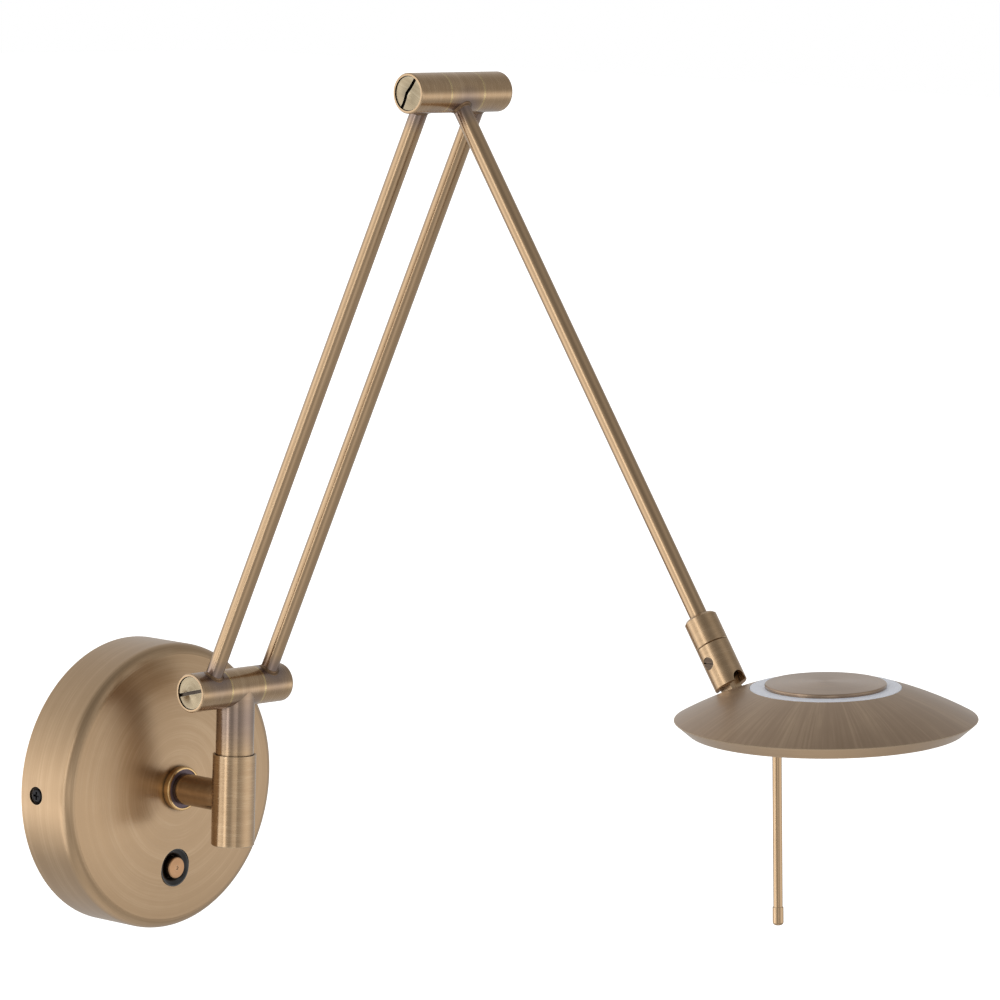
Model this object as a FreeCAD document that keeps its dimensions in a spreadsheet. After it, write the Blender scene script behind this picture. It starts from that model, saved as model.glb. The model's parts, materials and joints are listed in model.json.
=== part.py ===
import FreeCAD, Part
import os
from types import SimpleNamespace

import Sketcher

# Swing arm wall sconce. Millimetres, +Z up, wall plane at y = 0, the lamp reaches out along -Y.
# The origin is the centre of the wall cover's back, between the two slots of its bracket.

DRIVING_SIZES = [
    # wall cover
    ("canopy_diameter", 120.0, "round wall cover, outside"),
    ("canopy_rim_depth", 27.2, "where side and face of the cover would meet, before rounding"),
    ("canopy_dome", 4.4, "rise of the domed face, from there to its centre"),
    ("canopy_wall", 1.2, "sheet of the wall cover"),
    ("canopy_round", 5.0, "outside rounding between side and face"),
    # wall bracket
    ("strap_width", 18.0, "wall strap, upright width"),
    ("strap_sheet", 2.0, "wall strap, sheet thickness"),
    ("tab_width", 14.0, "bent ends of the strap"),
    ("tab_depth", 14.0, "bent ends of the strap, out from the wall"),
    ("tab_gap", 1.2, "bent ends to the inside of the cover"),
    ("slot_spacing", 72.0, "wall slots, centre to centre"),
    ("slot_length", 16.0, "wall slots, end to end"),
    ("slot_width", 4.6, "wall slots, for 4 mm screws"),
    ("cable_bore", 8.0, "supply cable hole in the grommet"),
    ("grommet_wall", 3.0, "rubber round the cable hole"),
    ("side_screw_depth", 8.8, "side screws, out from the wall"),
    ("side_screw_hole", 7.6, "hole in the cover round a side screw's head"),
    ("side_screw_head", 5.6, "side screw head diameter"),
    ("side_screw_thread", 3.0, "side screw thread diameter"),
    # driver and terminals
    ("driver_length", 52.0, "LED driver along X"),
    ("driver_width", 22.0, "LED driver upright"),
    ("driver_depth", 15.0, "LED driver out from the wall"),
    ("driver_wall", 1.4, "driver case walls"),
    ("driver_low_side", 14.5, "driver's lower side above the centre"),
    ("board_thickness", 1.6, "driver's circuit board"),
    ("terminal_pitch", 6.5, "terminal block, way to way"),
    ("terminal_left", 34.0, "terminal block's left side from the centre"),
    ("terminal_drop", 9.0, "terminal block's top below the centre"),
    ("terminal_height", 11.0, "terminal block, upright"),
    ("terminal_depth", 11.0, "terminal block, out from the wall"),
    # switch
    ("switch_drop", 33.85, "button centre below the cover's centre"),
    ("bezel_diameter", 16.0, "black ring round the button"),
    ("bezel_sink", 0.1, "front edge of the black ring below the cover's face"),
    ("bezel_dish", 1.9, "depth of the ring's dish"),
    ("button_diameter", 9.0, "push button cap"),
    ("button_rise", 1.1, "front of the cap beyond the black ring, at rest"),
    ("button_travel", 1.5, "push of the cap"),
    ("button_sheet", 1.7, "front of the hollow cap"),
    ("switch_length", 12.0, "switch housing behind the ring"),
    # boss, stub arm and sleeve
    ("boss_bush_wall", 1.75, "dark bush between stub arm and collar"),
    ("collar_thickness", 3.0, "brass collar, out from the face"),
    ("collar_wall", 1.0, "brass rim round the dark bush"),
    ("stub_diameter", 13.0, "horizontal stub arm"),
    ("stub_thread", 10.0, "threaded end of the stub inside the cover"),
    ("stub_bore", 7.0, "lead passage of the stub"),
    ("stub_nut_wall", 2.0, "nut's flats outside that thread"),
    ("sleeve_reach", 63.7, "swivel axis out from the wall"),
    ("sleeve_rim", 0.8, "sleeve's wall round the post, at its top"),
    ("sleeve_seat", 0.7, "ledge in the sleeve that carries the upper bush"),
    ("sleeve_bush_wall", 2.0, "bushes between the sleeve and the post's spigot"),
    ("sleeve_top", 18.5, "top rim above the stub's axis"),
    ("sleeve_bottom", 19.5, "bottom edge below the stub's axis"),
    ("rim_depth", 2.0, "recess at the top of the sleeve"),
    ("rim_gap", 0.3, "gap round the post in that recess"),
    # post and barrels
    ("post_inset", 0.1, "post's side inside the barrel's"),
    ("post_bore", 6.4, "lead passage of the post"),
    ("lower_pivot_height", 46.3, "lower barrel's axis above the stub's axis"),
    ("barrel_diameter", 16.0, "both elbow barrels"),
    ("middle_margin", 1.1, "middle segment of a barrel beyond the post, on each side"),
    ("barrel_round", 1.8, "closed end of a barrel, rounding"),
    ("pivot_diameter", 9.0, "hollow pivot tube"),
    ("pivot_bore", 5.8, "bore of the pivot tube"),
    ("pivot_bush_wall", 1.0, "bush between pivot tube and middle segment"),
    ("pivot_bush_length", 4.5, "length of one pivot bush"),
    ("washer_thickness", 0.8, "bright friction washers"),
    ("screw_lip", 1.1, "barrel's wall round a pivot screw's head"),
    ("screw_gap", 0.3, "gap round that head"),
    ("screw_head_edge", 1.5, "straight edge of a pivot screw's head"),
    ("screw_head_dome", 1.3, "raised part of a pivot screw's head"),
    ("screw_slot", 1.5, "width of the driver slot"),
    ("slot_sink", 0.8, "floor of that slot below the head's straight edge"),
    # arms
    ("rod_diameter", 7.0, "all three arm rods"),
    ("rod_bore", 5.0, "lead passage of a rod"),
    ("rod_margin", 2.6, "inner end of a barrel's outer segment to the lower rod"),
    ("barrel_end", 7.0, "barrel beyond a lower rod's side"),
    ("lower_length", 275.0, "pivot to pivot along the lower arm"),
    ("upper_length", 254.5, "upper pivot to the tilt screw"),
    ("lower_lean", 24.46, "lower arm from upright, degrees"),
    ("upper_lean", 34.89, "upper arm from upright, degrees"),
    # head knuckle
    ("knuckle_diameter", 13.0, "collar and fork"),
    ("collar_length", 11.95, "collar's top to the swivel seam"),
    ("fork_above", 7.05, "swivel seam to the tilt screw"),
    ("fork_below", 10.5, "tilt screw to the fork's lower end"),
    ("seam_bevel", 0.25, "bevels on both sides of the swivel seam"),
    ("swivel_spigot", 8.0, "fork's spigot inside the collar"),
    ("head_swivel", 5.84, "fork and head turned about the rod, degrees"),
    ("tongue_thickness", 5.6, "tongue between the fork's cheeks"),
    ("tongue_width", 6.0, "tongue across its length"),
    ("tongue_sink", 0.38, "tongue's end below the shell's straight cone"),
    ("tongue_lean", 32.0, "tongue from the head's axis, degrees"),
    ("tilt_thread", 3.0, "tilt screw's shank"),
    ("tilt_head", 4.8, "tilt screw's head"),
    ("fork_wall", 1.3, "wall left on the fork's outer side"),
    ("notch_height", 3.6, "relief on the fork's outer side"),
    # head
    ("pivot_inset", 1.07, "tilt screw inside the head's widest edge"),
    ("pivot_to_crease", 14.65, "tilt screw above the head's widest edge"),
    ("head_diameter", 113.6, "widest edge of the head"),
    ("shell_height", 11.96, "opening's edge above the widest edge"),
    ("ring_width", 5.7, "opening's edge to the cap on top"),
    ("shell_bulge", 0.8, "rise of the shell's arc above a straight cone"),
    ("shell_wall", 1.4, "sheet of shell and bezel"),
    ("cap_diameter", 45.6, "round cap on top"),
    ("cap_rise", 1.68, "cap's edge above the opening's edge"),
    ("cap_dome", 0.9, "rise of the cap's face"),
    ("cap_sheet", 1.4, "cap's edge thickness"),
    ("diffuser_tuck", 3.0, "frosted ring's inner side under the cap's edge"),
    ("bezel_height", 4.5, "lower bezel below the widest edge"),
    ("bezel_inset", 5.15, "lower bezel's flat edge inside the widest edge"),
    ("bezel_lip", 2.65, "width of that flat edge, outside the clear opening"),
    ("pin_diameter", 3.6, "handle pin under the head"),
    ("pin_drop", 83.0, "pin's end below the widest edge"),
    ("pin_offset", 25.7, "pin from the head's axis, towards the knuckle"),
    ("pin_tip_diameter", 4.2, "rounded grip at the pin's end"),
    ("pin_tip_length", 7.0, "length of that grip"),
    ("lead_diameter", 3.4, "two-core lead in the tubes"),
    # fits
    ("fit_gap", 0.02, "radial gap of pieces that are fixed together"),
    ("glue_gap", 0.1, "driver and terminal block to the cover they are glued to"),
    ("running_gap", 0.04, "radial gap of shafts that turn"),
    ("face_gap", 0.05, "gap between faces that slide on each other"),
]

doc = FreeCAD.newDocument("SwingArmSconce")
sheet = doc.addObject("Spreadsheet::Sheet", "Sizes")
for row, (alias, value, meaning) in enumerate(DRIVING_SIZES, start=1):
    sheet.set(f"A{row}", alias)
    sheet.set(f"B{row}", str(value))
    sheet.set(f"C{row}", meaning)
    sheet.setAlias(f"B{row}", alias)
doc.recompute()


class Size:
    """A size worked out from the sheet's cells and kept as expression text."""

    def __init__(self, text):
        self.text = text

    def __add__(self, other):
        return Size(f"({self.text} + {text_of(other)})")

    def __radd__(self, other):
        return Size(f"({text_of(other)} + {self.text})")

    def __sub__(self, other):
        return Size(f"({self.text} - {text_of(other)})")

    def __rsub__(self, other):
        return Size(f"({text_of(other)} - {self.text})")

    def __mul__(self, other):
        return Size(f"({self.text} * {text_of(other)})")

    def __rmul__(self, other):
        return Size(f"({text_of(other)} * {self.text})")

    def __truediv__(self, other):
        return Size(f"({self.text} / {text_of(other)})")

    def __neg__(self):
        return Size(f"(0 - {self.text})")


def text_of(value):
    return value.text if isinstance(value, Size) else f"({value})"


def number(value):
    """The present value of a size, for starting sketches and for arcs' middles."""
    result = sheet.evalExpression(text_of(value))
    return float(getattr(result, "Value", result))


def sine(angle):
    return Size(f"sin({text_of(angle)})")


def cosine(angle):
    return Size(f"cos({text_of(angle)})")


def root(value):
    return Size(f"sqrt({text_of(value)})")


class Frame:
    """A placement, as expression text, that a sub-part is bound to."""

    def __init__(self, text):
        self.text = text

    def moved(self, x=0, y=0, z=0):
        return Frame(self.text + " * " + place(x, y, z))

    def turned(self, axis, angle):
        return Frame(self.text + " * " + place(0, 0, 0, axis, angle))


def place(x, y, z, axis=(0, 0, 1), angle=0):
    point = f"vector({text_of(x)}; {text_of(y)}; {text_of(z)})"
    line = f"vector({axis[0]}; {axis[1]}; {axis[2]})"
    return f"placement({point}; rotation({line}; {text_of(angle)}))"


s = SimpleNamespace(**{alias: Size("Sizes." + alias) for alias, _, _ in DRIVING_SIZES})

# --- frames: each has +Z along its own piece ---
WALL = Frame(place(0, 0, 0, (1, 0, 0), 90))  # z out of the wall, y up
POST = Frame(place(0, -s.sleeve_reach, 0))
LOWER_ARM = POST.moved(z=s.lower_pivot_height).turned((1, 0, 0), s.lower_lean)
LOWER_ARM_END = LOWER_ARM.moved(z=s.lower_length)
UPPER_ARM = LOWER_ARM_END.turned((1, 0, 0), 180 - s.upper_lean - s.lower_lean)
KNUCKLE = UPPER_ARM.moved(z=s.upper_length).turned((0, 0, 1), s.head_swivel)
TILT = KNUCKLE.turned((1, 0, 0), s.upper_lean - 180)
head_radius = s.head_diameter / 2
pivot_to_centre = head_radius - s.pivot_inset
HEAD = TILT.moved(y=-pivot_to_centre, z=-s.pivot_to_crease)

PLANES = {"XY": "XY_Plane", "XZ": "XZ_Plane", "YZ": "YZ_Plane"}
nodes = []


# --- building blocks ---
def new_body(label, frame):
    body = doc.addObject("PartDesign::Body", label)
    body.Label = label
    body.setExpression("Placement", frame.text)
    nodes.append(body)
    return body


def new_sketch(body, plane, start=0):
    """A sketch on one of the body's own planes, moved along that plane's normal."""
    sketch = body.newObject("Sketcher::SketchObject", body.Label + "_sketch")
    role = PLANES[plane]
    support = [f for f in body.Origin.OriginFeatures if f.Role == role][0]
    sketch.AttachmentSupport = (support, [""])
    sketch.MapMode = "FlatFace"
    sketch.setExpression("AttachmentOffset.Base.z", text_of(start))
    return sketch


def bind(sketch, kind, geometry, point, value):
    """Fix one coordinate of a sketch point to a size."""
    index = sketch.addConstraint(
        Sketcher.Constraint(kind, -1, 1, geometry, point, number(value))
    )
    sketch.renameConstraint(index, f"{kind}_{geometry}_{point}")
    sketch.setExpression(f"Constraints.{kind}_{geometry}_{point}", text_of(value))


def vector(point):
    return FreeCAD.Vector(number(point[0]), number(point[1]), 0)


def outline(sketch, points, arcs=None):
    """A closed outline; arcs = {index: radius} bends the edge that leaves that point outwards."""
    arcs = arcs or {}
    first = sketch.GeometryCount
    corners = [vector(p) for p in points]
    count = len(points)
    starts = {}
    for i in range(count):
        start, end = corners[i], corners[(i + 1) % count]
        if i not in arcs:
            sketch.addGeometry(Part.LineSegment(start, end), False)
            starts[i] = 1
            continue
        chord = end - start
        radius = abs(number(arcs[i]))
        rise = radius - (radius**2 - (chord.Length / 2) ** 2) ** 0.5
        side = FreeCAD.Vector(chord.y, -chord.x, 0).normalize()
        if number(arcs[i]) < 0:
            side = -side
        middle = (start + end) * 0.5 + side * rise
        sketch.addGeometry(Part.Arc(start, middle, end), False)
        turn = (middle - start).cross(end - start).z
        starts[i] = 1 if turn > 0 else 2
    for i in range(count):
        after = (i + 1) % count
        sketch.addConstraint(
            Sketcher.Constraint(
                "Coincident", first + i, 3 - starts[i], first + after, starts[after]
            )
        )
    for i, (across, up) in enumerate(points):
        bind(sketch, "DistanceX", first + i, starts[i], across)
        bind(sketch, "DistanceY", first + i, starts[i], up)
    for i, radius in arcs.items():
        size = radius if number(radius) > 0 else -radius
        index = sketch.addConstraint(Sketcher.Constraint("Radius", first + i, number(size)))
        sketch.renameConstraint(index, f"Radius_{first + i}")
        sketch.setExpression(f"Constraints.Radius_{first + i}", text_of(size))


def circle(sketch, centre, radius):
    index = sketch.addGeometry(
        Part.Circle(vector(centre), FreeCAD.Vector(0, 0, 1), number(radius)), False
    )
    bind(sketch, "DistanceX", index, 3, centre[0])
    bind(sketch, "DistanceY", index, 3, centre[1])
    constraint = sketch.addConstraint(Sketcher.Constraint("Radius", index, number(radius)))
    sketch.renameConstraint(constraint, f"Radius_{index}")
    sketch.setExpression(f"Constraints.Radius_{index}", text_of(radius))


def rectangle(sketch, left, right, low, high):
    outline(sketch, [(left, low), (right, low), (right, high), (left, high)])


def turn_profile(body, points, axis="V_Axis", arcs=None):
    """Turn a profile of (radius, height) points, or of (place on X, radius) with H_Axis."""
    sketch = new_sketch(body, "XZ")
    outline(sketch, points, arcs)
    feature = body.newObject("PartDesign::Revolution", body.Label + "_turned")
    feature.Profile = sketch
    feature.ReferenceAxis = (sketch, [axis])
    feature.Angle = 360
    body.Tip = feature
    return feature


def turned(label, frame, points, axis="V_Axis", arcs=None):
    body = new_body(label, frame)
    turn_profile(body, points, axis, arcs)
    return body


def ring(label, frame, inner, outer, low, high, axis="V_Axis"):
    """A plain tube, washer or disc between two heights."""
    if axis == "V_Axis":
        points = [(inner, low), (outer, low), (outer, high), (inner, high)]
    else:
        points = [(low, inner), (high, inner), (high, outer), (low, outer)]
    return turned(label, frame, points, axis)


def extrude(body, kind, sketch, length, symmetric=False, backwards=False):
    feature = body.newObject("PartDesign::" + kind, f"{body.Label}_{kind.lower()}")
    feature.Profile = sketch
    feature.setExpression("Length", text_of(length))
    feature.SideType = "Symmetric" if symmetric else "One side"
    feature.Reversed = backwards
    body.Tip = feature
    return feature


def cut(body, sketch, length, symmetric=False, backwards=False):
    """Cut along the sketch's normal, and make sure that something was cut away."""
    doc.recompute()
    before = body.Shape.Volume
    feature = extrude(body, "Pocket", sketch, length, symmetric, backwards)
    doc.recompute()
    if body.Shape.Volume > before - 1e-6:
        raise RuntimeError(f"{body.Label}: a pocket cuts nothing")
    return feature


def drill(body, plane, centre, radius, length, start=0, symmetric=False, backwards=False):
    sketch = new_sketch(body, plane, start)
    circle(sketch, centre, radius)
    return cut(body, sketch, length, symmetric, backwards)


def block(label, frame, left, right, low, high, back, front):
    """A box: X from left to right, Y from low to high, Z from back to front."""
    body = new_body(label, frame)
    sketch = new_sketch(body, "XY", back)
    rectangle(sketch, left, right, low, high)
    extrude(body, "Pad", sketch, front - back)
    return body


def edges_at(body, test):
    """Names of the body's edges whose middle passes the test."""
    doc.recompute()
    names = []
    for number_of_edge, edge in enumerate(body.Tip.Shape.Edges, start=1):
        middle = edge.valueAt((edge.FirstParameter + edge.LastParameter) / 2)
        if test(edge, middle):
            names.append(f"Edge{number_of_edge}")
    return names


def near(value, size, slack=0.01):
    return abs(value - number(size)) < slack


def dress(body, kind, names, size):
    """Round (Fillet) or bevel (Chamfer) the named edges."""
    base = body.Tip
    feature = body.newObject("PartDesign::" + kind, f"{body.Label}_{kind.lower()}")
    feature.Base = (base, names)
    feature.setExpression("Radius" if kind == "Fillet" else "Size", text_of(size))
    body.Tip = feature
    return feature


def repeat_round(body, feature, axis_sketch, times):
    """Copies of a feature, evenly round the normal axis of a sketch."""
    doc.recompute()
    pattern = body.newObject("PartDesign::PolarPattern", body.Label + "_pattern")
    pattern.Originals = [feature]
    pattern.Axis = (axis_sketch, ["N_Axis"])
    pattern.Angle = 360
    pattern.Occurrences = times
    body.Tip = pattern
    return pattern


def group(label, members):
    """Identical loose pieces kept in one node."""
    compound = doc.addObject("Part::Compound", label)
    compound.Label = label
    compound.Links = members
    for member in members:
        nodes.remove(member)
        member.Label = label + "_piece"
    nodes.append(compound)
    return compound


def ring_edge(radius, height):
    """Test for the circular edge at a radius and height about Z."""
    def test(edge, middle):
        return near((middle.x**2 + middle.y**2) ** 0.5, radius) and near(middle.z, height)
    return test


def end_edge(place_on_x, radius):
    """Test for the circular edge at a place on X and a radius about X."""
    def test(edge, middle):
        return near(middle.x, place_on_x) and near((middle.y**2 + middle.z**2) ** 0.5, radius)
    return test


# --- wall cover and what it hides ---
centre_depth = s.canopy_rim_depth + s.canopy_dome
face_radius = (s.canopy_diameter * s.canopy_diameter / 4 + s.canopy_dome * s.canopy_dome) / (
    2 * s.canopy_dome
)
inner_centre_depth = centre_depth - s.canopy_wall


def face_depth(off_centre):
    """Depth of the domed face at a distance from the cover's centre."""
    return centre_depth - off_centre * off_centre / (2 * face_radius)


def glue_depth(across, up):
    """Front of a box glued inside the cover, whose farthest corner is at that place."""
    return face_depth(root(across * across + up * up)) - s.canopy_wall - s.glue_gap


def make_canopy_cover():
    radius = s.canopy_diameter / 2
    inside = radius - s.canopy_wall
    inner_radius = face_radius - s.canopy_wall
    inner_rim = inner_centre_depth - inner_radius + root(inner_radius * inner_radius - inside * inside)
    body = turned(
        "canopy_cover",
        WALL,
        [
            (inside, 0),
            (radius, 0),
            (radius, s.canopy_rim_depth),
            (0, centre_depth),
            (0, inner_centre_depth),
            (inside, inner_rim),
        ],
        arcs={2: face_radius, 4: -inner_radius},
    )
    dress(body, "Fillet", edges_at(body, ring_edge(radius, s.canopy_rim_depth)), s.canopy_round)
    inner_round = s.canopy_round - s.canopy_wall
    dress(body, "Fillet", edges_at(body, ring_edge(inside, inner_rim)), inner_round)
    drill(body, "XY", (0, 0), s.stub_thread / 2 + 0.1, s.canopy_diameter, symmetric=True)
    button_hole = s.bezel_diameter / 2 + s.fit_gap
    drill(body, "XY", (0, -s.switch_drop), button_hole, s.canopy_diameter, symmetric=True)
    screw_hole = s.side_screw_hole / 2
    drill(body, "YZ", (0, s.side_screw_depth), screw_hole, 2 * s.canopy_diameter, symmetric=True)


tab_outside = root(
    (s.canopy_diameter / 2 - s.canopy_wall) * (s.canopy_diameter / 2 - s.canopy_wall)
    - s.tab_width * s.tab_width / 4
) - s.tab_gap
tab_inside = tab_outside - s.strap_sheet


def make_wall_bracket():
    body = block(
        "wall_bracket",
        WALL,
        -tab_outside,
        tab_outside,
        -s.strap_width / 2,
        s.strap_width / 2,
        0,
        s.strap_sheet,
    )
    for side in (-1, 1):
        sketch = new_sketch(body, "XY", s.strap_sheet)
        inner, outer = side * tab_inside, side * tab_outside
        left, right = (outer, inner) if side < 0 else (inner, outer)
        rectangle(sketch, left, right, -s.tab_width / 2, s.tab_width / 2)
        extrude(body, "Pad", sketch, s.tab_depth - s.strap_sheet)
    thread = s.side_screw_thread / 2 + s.fit_gap
    drill(body, "YZ", (0, s.side_screw_depth), thread, 2 * s.canopy_diameter, symmetric=True)
    hole = s.cable_bore / 2 + s.grommet_wall
    drill(body, "XY", (0, 0), hole, 4 * s.strap_sheet, symmetric=True)
    half_straight = (s.slot_length - s.slot_width) / 2
    for side in (-1, 1):
        middle = side * s.slot_spacing / 2
        sketch = new_sketch(body, "XY")
        rectangle(
            sketch,
            middle - half_straight,
            middle + half_straight,
            -s.slot_width / 2,
            s.slot_width / 2,
        )
        cut(body, sketch, 4 * s.strap_sheet, symmetric=True)
        for end in (-1, 1):
            centre = (middle + end * half_straight, 0)
            drill(body, "XY", centre, s.slot_width / 2, 4 * s.strap_sheet, symmetric=True)


def make_cable_grommet():
    bore = s.cable_bore / 2
    waist = bore + s.grommet_wall - s.fit_gap
    flange = waist + 2
    back = s.strap_sheet + 0.02
    turned(
        "cable_grommet",
        WALL,
        [
            (bore, 0.2),
            (waist, 0.2),
            (waist, back),
            (flange, back),
            (flange, back + 1.2),
            (bore + 2, back + 3),
            (bore, back + 3),
        ],
    )


def make_side_screws():
    """Two screws, backed out of the strap's ends until their heads fill the cover's holes."""
    head_front = s.canopy_diameter / 2 - 0.2
    head_back = head_front - 1.9
    shank_end = tab_inside - 2
    members = []
    for turn in (0, 180):
        frame = WALL.moved(z=s.side_screw_depth).turned((0, 0, 1), turn)
        body = turned(
            "side_screw",
            frame,
            [
                (shank_end, 0),
                (head_front, 0),
                (head_front, s.side_screw_head / 2),
                (head_back, s.side_screw_head / 2),
                (head_back, s.side_screw_thread / 2),
                (shank_end, s.side_screw_thread / 2),
            ],
            "H_Axis",
        )
        dress(body, "Fillet", edges_at(body, end_edge(head_front, s.side_screw_head / 2)), 0.7)
        for across, up in ((0.45, 1.7), (1.7, 0.45)):
            sketch = new_sketch(body, "YZ", head_front - 0.9)
            rectangle(sketch, -across, across, -up, up)
            cut(body, sketch, 2, backwards=True)
        members.append(body)
    group("side_screws", members)


driver_high_side = s.driver_low_side + s.driver_width
driver_front = glue_depth(s.driver_length / 2, driver_high_side)
driver_back = driver_front - s.driver_depth


def make_driver():
    """The LED driver, glued to the cover's inside: a tray, its lid towards the wall, its board."""
    left, right = -s.driver_length / 2, s.driver_length / 2
    wall = s.driver_wall
    case = block(
        "driver_case", WALL, left, right, s.driver_low_side, driver_high_side,
        driver_back, driver_front,
    )
    sketch = new_sketch(case, "XY", driver_front - wall)
    low, high = s.driver_low_side + wall, driver_high_side - wall
    rectangle(sketch, left + wall, right - wall, low, high)
    cut(case, sketch, s.driver_depth)
    gap = 0.05
    block(
        "driver_lid", WALL, left + wall + gap, right - wall - gap, low + gap, high - gap,
        driver_back, driver_back + wall,
    )
    board_back = driver_back + wall + 1
    board_front = board_back + s.board_thickness
    board = block(
        "driver_board", WALL, left + wall + 0.5, right - wall - 0.5, low + 0.5, high - 0.5,
        board_back, board_front,
    )
    middle = (low + high) / 2
    transformer = new_sketch(board, "XY", board_front)
    rectangle(transformer, -6, 6, middle - 6, middle + 6)
    extrude(board, "Pad", transformer, 8)
    for across, radius, tall in ((-16, 4, 7.5), (14, 3, 6), (20, 2, 5)):
        sketch = new_sketch(board, "XY", board_front)
        circle(sketch, (across, middle), radius)
        extrude(board, "Pad", sketch, tall)


def make_terminal_block():
    """Three ways for line, neutral and earth, with screw holes that face the wall."""
    left = -s.terminal_left
    right = left + 3 * s.terminal_pitch
    top = -s.terminal_drop
    low = top - s.terminal_height
    front = glue_depth(left, low)
    back = front - s.terminal_depth
    body = block("terminal_block", WALL, left, right, low, top, back, front)
    for way in range(3):
        across = left + (way + 0.5) * s.terminal_pitch
        wire = new_sketch(body, "XZ", 0)
        circle(wire, (across, front - 4.5), 1.7)
        cut(body, wire, s.canopy_diameter, symmetric=True)
        centre = (across, (low + top) / 2)
        drill(body, "XY", centre, 1.5, 4.5, start=back - 1, backwards=True)


# --- push button switch ---
BUTTON = WALL.moved(y=-s.switch_drop)
bezel_bore = s.button_diameter / 2 + 0.2
bezel_front = face_depth(s.switch_drop) - s.bezel_sink
bezel_back = bezel_front - 6.1
stop_ledge = bezel_front - 2.7
button_front = bezel_front + s.button_rise


def make_switch():
    outer = s.bezel_diameter / 2
    flange_bore = bezel_bore + 1.1
    turned(
        "button_bezel",
        BUTTON,
        [
            (flange_bore, bezel_back),
            (outer, bezel_back),
            (outer, bezel_front),
            (outer - 0.5, bezel_front),
            (bezel_bore, bezel_front - s.bezel_dish),
            (bezel_bore, stop_ledge),
            (flange_bore, stop_ledge),
        ],
        arcs={3: 5.5},
    )
    nut_front = face_depth(s.switch_drop + outer + 2.6) - s.canopy_wall - 0.15
    nut = ring("switch_nut", BUTTON, outer + s.fit_gap, outer + 2.5, nut_front - 2.6, nut_front)
    grips = new_sketch(nut, "XY", nut_front)
    rectangle(grips, outer + 1.6, outer + 4, -0.9, 0.9)
    grip = cut(nut, grips, 4)
    repeat_round(nut, grip, grips, 6)
    housing = ring("switch_housing", BUTTON, 0, outer - 0.5, bezel_back - s.switch_length, bezel_back)
    contacts = new_sketch(housing, "XY", bezel_back - s.switch_length)
    for across in (-3.5, 3.5):
        rectangle(contacts, across - 0.4, across + 0.4, -1.4, 1.4)
    extrude(housing, "Pad", contacts, 4, backwards=True)
    radius = s.button_diameter / 2
    hollow = radius - 1.3
    ceiling = button_front - s.button_sheet
    flange_top = stop_ledge - 0.2
    cap = turned(
        "button_cap",
        BUTTON,
        [
            (hollow, flange_top - 1),
            (flange_bore - 0.2, flange_top - 1),
            (flange_bore - 0.2, flange_top),
            (radius, flange_top),
            (radius, button_front),
            (0, button_front),
            (0, ceiling),
            (hollow, ceiling),
        ],
    )
    dress(cap, "Fillet", edges_at(cap, ring_edge(radius, button_front)), 0.5)
    dimple = new_sketch(cap, "XY", button_front - 0.25)
    circle(dimple, (0, 0), 0.9)
    cut(cap, dimple, 1, backwards=True)
    make_button_boot(hollow - 0.3, ceiling - s.button_travel - 0.1)


def make_button_boot(radius, top):
    """Rubber boot that returns the cap, drawn as the cap presses it against the housing."""
    low = bezel_back + 0.02
    wall = 0.6
    turned(
        "button_boot",
        BUTTON,
        [
            (radius - wall, low),
            (radius, low),
            (radius - 1, top),
            (0, top),
            (0, top - wall),
            (radius - 1 - wall, top - wall),
        ],
    )


# --- stub arm and sleeve ---
barrel_radius = s.barrel_diameter / 2
post_radius = barrel_radius - s.post_inset
recess_radius = post_radius + s.rim_gap
sleeve_outer = recess_radius + s.sleeve_rim
sleeve_bore = recess_radius - s.sleeve_seat
post_spigot = sleeve_bore - s.sleeve_bush_wall


def make_stub_arm():
    stub = s.stub_diameter / 2
    bush_outer = stub + s.boss_bush_wall
    collar_outer = bush_outer + s.collar_wall
    front = centre_depth
    collar = ring(
        "boss_collar", WALL, bush_outer + s.fit_gap, collar_outer, front, front + s.collar_thickness
    )
    rim = edges_at(collar, ring_edge(collar_outer, front + s.collar_thickness))
    dress(collar, "Fillet", rim, 0.5)
    ring("boss_bush", WALL, stub + s.fit_gap, bush_outer, front, front + s.collar_thickness - 0.4)
    thread = s.stub_thread / 2
    inner_end = front - 11
    saddle = sleeve_bore
    arm = turned(
        "stub_arm",
        WALL,
        [
            (s.stub_bore / 2, inner_end),
            (thread, inner_end),
            (thread, front),
            (stub, front),
            (stub, s.sleeve_reach - saddle / 2),
            (s.stub_bore / 2, s.sleeve_reach - saddle / 2),
        ],
    )
    sketch = new_sketch(arm, "XZ")
    circle(sketch, (0, s.sleeve_reach), saddle + s.fit_gap)
    cut(arm, sketch, 2 * s.stub_diameter, symmetric=True)
    make_stub_nut(thread + s.fit_gap, inner_centre_depth - 0.15)
    lead_end = s.sleeve_reach - post_spigot - 0.5
    ring("stub_lead", WALL, 0, s.lead_diameter / 2, inner_end - 4, lead_end)


def make_stub_nut(bore, front):
    """Hexagon nut behind the cover."""
    flats = s.stub_thread + 2 * s.stub_nut_wall
    corner = flats / 3**0.5
    body = new_body("stub_nut", WALL)
    sketch = new_sketch(body, "XY", front)
    outline(
        sketch,
        [
            (corner, 0),
            (corner / 2, flats / 2),
            (-corner / 2, flats / 2),
            (-corner, 0),
            (-corner / 2, -flats / 2),
            (corner / 2, -flats / 2),
        ],
    )
    extrude(body, "Pad", sketch, 4.5, backwards=True)
    drill(body, "XY", (0, 0), bore, s.canopy_diameter, symmetric=True)


bush_top = s.sleeve_top - s.rim_depth
bush_flange = 0.4
shoulder = bush_top + bush_flange + s.face_gap
sleeve_cap_top = 2.6 - s.sleeve_bottom
spigot_end = sleeve_cap_top + 1.4
clip_groove_low = spigot_end + 1.4
clip_groove_top = clip_groove_low + 1


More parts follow.
